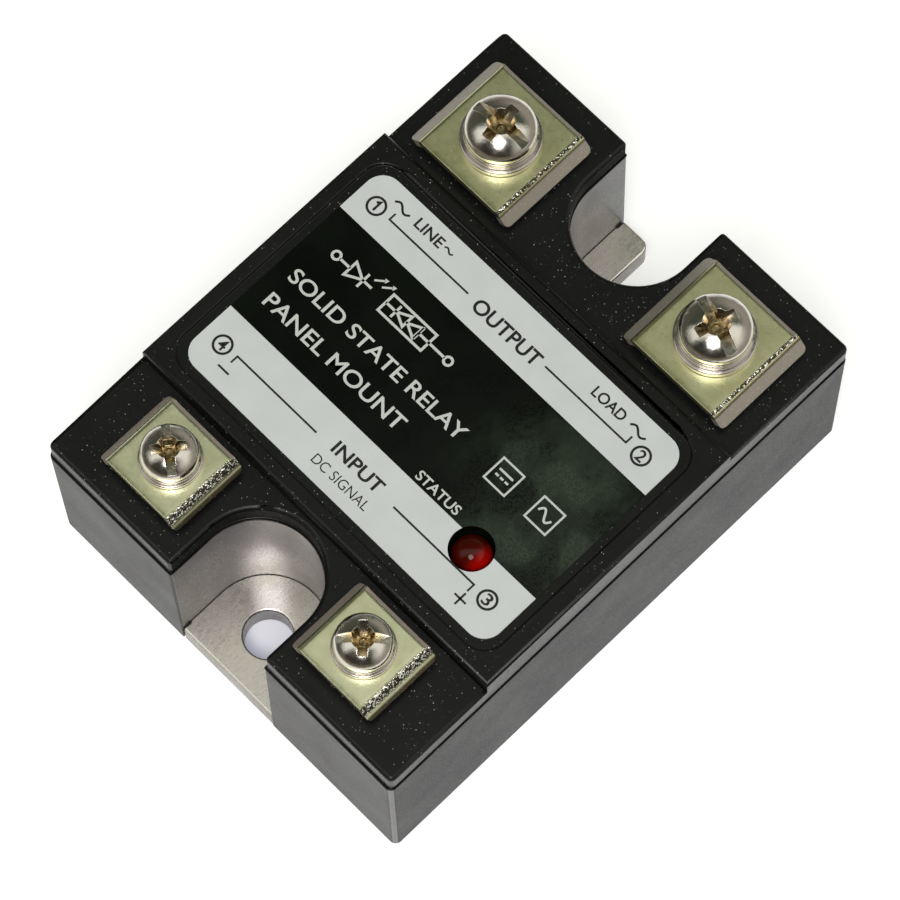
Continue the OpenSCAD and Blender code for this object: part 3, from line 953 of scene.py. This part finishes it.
def print_dark():
    """Terminal numbers, brackets and words on the two light bands."""
    ink = Print()
    thin = 0.19
    load_line, control_line = 7.92, -11.30
    number_r = 0.89
    numbers = {1: (8.0, 17.63), 2: (7.97, -16.69), 3: (-11.46, -16.63), 4: (-11.47, 17.71)}
    for number, (x, y) in numbers.items():
        ink.ring(x, y, number_r, 0.24)
        if number == 1:
            ink.stroke([(x - 0.52, y - 0.06), (x + 0.52, y - 0.06), (x + 0.28, y + 0.24)], 0.24)
        else:
            ink.text(str(number), x - 0.58, y + 0.40, y - 0.40, 1.18, 0.016)
    ink.wave(9.52, 15.75, 2.0, 0.30, 0.22)
    ink.wave(9.45, -14.85, 2.0, 0.30, 0.22)
    ink.stroke([(8.72, 15.82), (load_line, 15.82), (load_line, 5.5)], thin)
    ink.stroke([(load_line, -4.47), (load_line, -14.82), (8.75, -14.82)], thin)
    ink.text("OUTPUT", 7.05, 4.42, -3.82, 1.5, 0.020)
    ink.text("LINE", 9.05, 13.9, 10.6, 1.12, 0.018)
    ink.wave(9.6, 9.75, 1.1, 0.16, 0.17)
    ink.text("LOAD", 8.95, -9.2, -13.1, 1.12, 0.018)
    ink.stroke([(-13.1, 16.6), (-13.1, 15.2)], 0.20)
    ink.stroke([(-13.1, -14.12), (-13.1, -15.54)], 0.20)
    ink.stroke([(-12.39, -14.83), (-13.81, -14.83)], 0.20)
    ink.stroke([(-12.14, 15.93), (control_line, 15.93), (control_line, 5.55)], thin)
    ink.stroke([(control_line, -4.42), (control_line, -14.77), (-12.16, -14.77)], thin)
    ink.text("INPUT", -11.62, 3.5, -2.5, 1.36, 0.020)
    ink.text("DC SIGNAL", -13.55, 4.06, -2.85, 1.0, -0.004)
    ink.piece("print_dark", "ink_dark")


def print_light():
    """White print on the dark panel: a line drawing of the switch and plain words."""
    ink = Print()
    line = 0.26
    mid = 2.0
    left, right = 17.2, 1.6
    ink.ring(mid, left - 0.5, 0.42, line)
    ink.stroke([(mid, left - 0.95), (mid, 14.9)], line)
    ink.stroke([(mid + 0.85, 14.9), (mid - 0.85, 14.9), (mid, 13.3)], line, closed=True)
    ink.stroke([(mid + 0.85, 13.2), (mid - 0.85, 13.2)], line)
    ink.stroke([(mid, 13.2), (mid, 12.1)], line)
    for shift in (0.0, 1.0):
        x, y = mid + 0.75, 12.5 - shift
        ink.stroke([(x, y), (x + 0.62, y - 0.75)], 0.2)
        ink.face([(x + 0.9, y - 1.08), (x + 0.86, y - 0.62), (x + 0.44, y - 0.92)])
    ink.stroke([(mid + 1.05, 10.2), (mid - 1.05, 10.2), (mid - 1.05, 4.6), (mid + 1.05, 4.6)],
               line, closed=True)
    ink.stroke([(mid, 10.2), (mid, 8.9)], line)
    ink.stroke([(mid + 0.72, 8.9), (mid - 0.72, 8.9)], line)
    ink.stroke([(mid + 0.05, 8.8), (mid + 0.72, 7.45), (mid - 0.62, 7.45)], line, closed=True)
    ink.stroke([(mid - 0.05, 7.35), (mid - 0.72, 6.0), (mid + 0.62, 6.0)], line, closed=True)
    ink.stroke([(mid + 0.72, 5.9), (mid - 0.72, 5.9)], line)
    ink.stroke([(mid, 5.9), (mid, 4.6)], line)
    ink.stroke([(mid, 4.6), (mid, right + 0.95)], line)
    ink.ring(mid, right + 0.5, 0.42, line)
    ink.text("SOLID STATE RELAY", -2.85, 18.3, -4.1, 1.55, 0.012)
    ink.text("PANEL MOUNT", -6.15, 18.2, 0.5, 1.6, 0.012)
    ink.text("STATUS", -7.98, -3.7, -8.95, 1.02, 0.016)
    for y, kind in ((-9.4, "steady"), (-14.6, "wave")):
        x, half = -2.2, 1.3
        ink.stroke([(x - half, y - half), (x + half, y - half), (x + half, y + half),
                    (x - half, y + half)], 0.2, closed=True)
        if kind == "wave":
            ink.wave(x, y, 1.7, 0.5, 0.22)
        else:
            ink.stroke([(x + 0.3, y + 0.85), (x + 0.3, y - 0.85)], 0.22)
            for dash in (0.6, 0.0, -0.6):
                ink.stroke([(x - 0.3, y + dash + 0.2), (x - 0.3, y + dash - 0.2)], 0.22)
    ink.piece("print_light", "ink_light")


# ---------- inner parts keep their CAD shape ----------


def dress_inner_parts():
    """Procedural looks on every CAD piece that has one for its slot."""
    for entry in frame["record"]["subparts"]:
        obj = nodes[entry["node"]]
        if entry["material_slot"] in LOOKS and obj.material_slots:
            obj.material_slots[0].material = LOOKS[entry["material_slot"]]


# ---------- studio ----------


def build_floor():
    """Pale glowing paper in a painted pool of light that fades to dark far off, with painted shade in
    grey-violet where it shows through the fixing hole.
    """
    bm = bmesh.new()
    half = 2.5
    corners = ((-1, -1), (1, -1), (1, 1), (-1, 1))
    verts = [bm.verts.new((sx * half, sy * half, 0.0)) for sx, sy in corners]
    bm.faces.new(verts)
    mesh = bpy.data.meshes.new("studio_floor")
    bm.to_mesh(mesh)
    bm.free()
    look = surface("floor_paper", Emission_Strength=0.5)
    where = look.node("VectorMath", {0: look.place(1.0)}, operation="LENGTH").outputs["Value"]
    # painted pool of light: the paper darkens and stops glowing far off
    far = look.remap(where, 90.0, 220.0, 0.0, 1.0, "SMOOTHSTEP")
    paper = look.mix(look.noise(40.0), rgb(0.90, 0.90, 0.90), rgb(0.92, 0.92, 0.915))
    hole = look.node("VectorMath", {0: look.place(1.0), 1: (-MOUNT_X, 0.0, 0.0)}, operation="DISTANCE")
    # painted shade: under the fixing hole the floor glows grey-violet instead of white
    painted_hole_shade = look.remap(hole.outputs["Value"], 2.9, 3.2, 1.0, 0.0)
    painted_glow = look.mix(painted_hole_shade, rgb(1, 1, 1), rgb(0.42, 0.43, 0.56))
    look.feed(look.shader.inputs["Emission Color"], look.mix(far, painted_glow, rgb(0.1, 0.1, 0.1)))
    mesh.materials.append(wire(look, look.mix(far, paper, rgb(0.32, 0.31, 0.29)), 0.9))
    add_object("studio_floor", mesh)


# Level directions in the room, away from the camera and to its right
AWAY = (0.676, 0.737, 0.0)
RIGHT = (0.70, -0.71, 0.0)
# Where the dark panel sees its patchy reflection, as parts along RIGHT and AWAY
OPENING = (0.004, 0.318, 0.0)


def build_world():
    """A room: dim green-grey at the back, bright overhead, warm grey walls, a dark near side."""
    world = bpy.data.worlds.new("studio")
    bpy.context.scene.world = world
    look = Look(world)
    background = look.tree.nodes["Background"]
    way = look.node("TexCoord").outputs["Generated"]
    height = look.node("SeparateXYZ", {"Vector": way}).outputs[2]
    away, right = (look.node("VectorMath", {0: way, 1: axis}, operation="DOT_PRODUCT").outputs["Value"]
                   for axis in (AWAY, RIGHT))
    mottle = look.node("TexNoise", {"Vector": way, "Scale": 95.0, "Detail": 6.0, "Roughness": 0.58})
    patches = look.remap(mottle.outputs["Fac"], 0.46, 0.54, 0.0, 1.0)
    spot = look.node("CombineXYZ", {0: right, 1: away}).outputs[0]
    apart = look.node("VectorMath", {0: spot, 1: OPENING}, operation="DISTANCE")
    opening = look.remap(apart.outputs["Value"], 0.028, 0.006, 0.05, 1.0, "SMOOTHSTEP")
    ceiling = look.mix(look.math("MULTIPLY", patches, opening), rgb(0.045, 0.05, 0.038),
                       rgb(0.95, 1.32, 0.82))
    overhead = look.remap(away, 0.365, 0.12, 0.0, 1.0, "SMOOTHSTEP")
    top = look.mix(overhead, ceiling, rgb(1.20, 1.20, 1.12))
    rise = look.remap(height, 0.22, 0.62, 0.0, 1.0, "SMOOTHSTEP")
    turn = look.remap(right, -0.35, 0.5, 0.0, 1.0, "SMOOTHSTEP")
    walls = look.mix(turn, rgb(0.11, 0.105, 0.085), rgb(0.42, 0.39, 0.34))
    colour = look.mix(rise, walls, top)
    near = look.remap(away, -0.16, -0.44, 0.0, 1.0, "SMOOTHSTEP")
    near = look.math("MULTIPLY", near, look.remap(right, 0.35, 0.80, 1.0, 0.0))
    person = look.mix(look.remap(height, 0.14, 0.34, 0.0, 1.0), rgb(0.24, 0.20, 0.14),
                      rgb(0.045, 0.04, 0.034))
    look.feed(background.inputs["Color"], look.mix(near, colour, person))
    background.inputs["Strength"].default_value = 1.0


def add_area(name, place, aim, size, power, colour=(1, 1, 1)):
    light = bpy.data.lights.new(name, "AREA")
    light.shape = "DISK"
    light.size = size
    light.energy = power
    light.color = colour
    obj = add_object(name, light)
    obj.location = place
    obj.rotation_mode = "QUATERNION"
    obj.rotation_quaternion = (Vector(aim) - Vector(place)).to_track_quat("-Z", "Y")


def add_camera():
    """Looks down on the control end from the -X, -Y side with a long lens."""
    azimuth, elevation, roll = (math.radians(v) for v in (-42.539, 70.588, -2.054))
    distance = 441.4 * MM
    target = Vector((1.630, 1.859, 0.0)) * MM
    back = Vector((math.sin(azimuth) * math.cos(elevation),
                   -math.cos(azimuth) * math.cos(elevation), math.sin(elevation)))
    camera = bpy.data.cameras.new("camera")
    camera.sensor_width = 36.0
    camera.lens = 186.3
    camera.clip_start = 0.01
    camera.clip_end = 20.0
    obj = add_object("camera", camera)
    level = (-back).cross(Vector((0, 0, 1))).normalized()
    upward = level.cross(-back)
    right = math.cos(roll) * level + math.sin(roll) * upward
    up = back.cross(right)
    pose = Matrix((right, up, back)).transposed().to_4x4()
    obj.matrix_world = Matrix.Translation(target + back * distance) @ pose
    bpy.context.scene.camera = obj


dress_inner_parts()
build_cover()
build_case()
build_seams()
build_metalwork()
for t in TERMINALS:
    build_clamp_plate(t)
    build_screw(t)
build_lamp()
build_label()
print_dark()
print_light()
build_floor()
build_world()
add_area("key", (-0.38, -0.28, 0.80), (0, 0, 0.01), 0.42, 4.0, (1.0, 0.985, 0.96))
add_camera()
bpy.context.scene.view_settings.view_transform = "Standard"
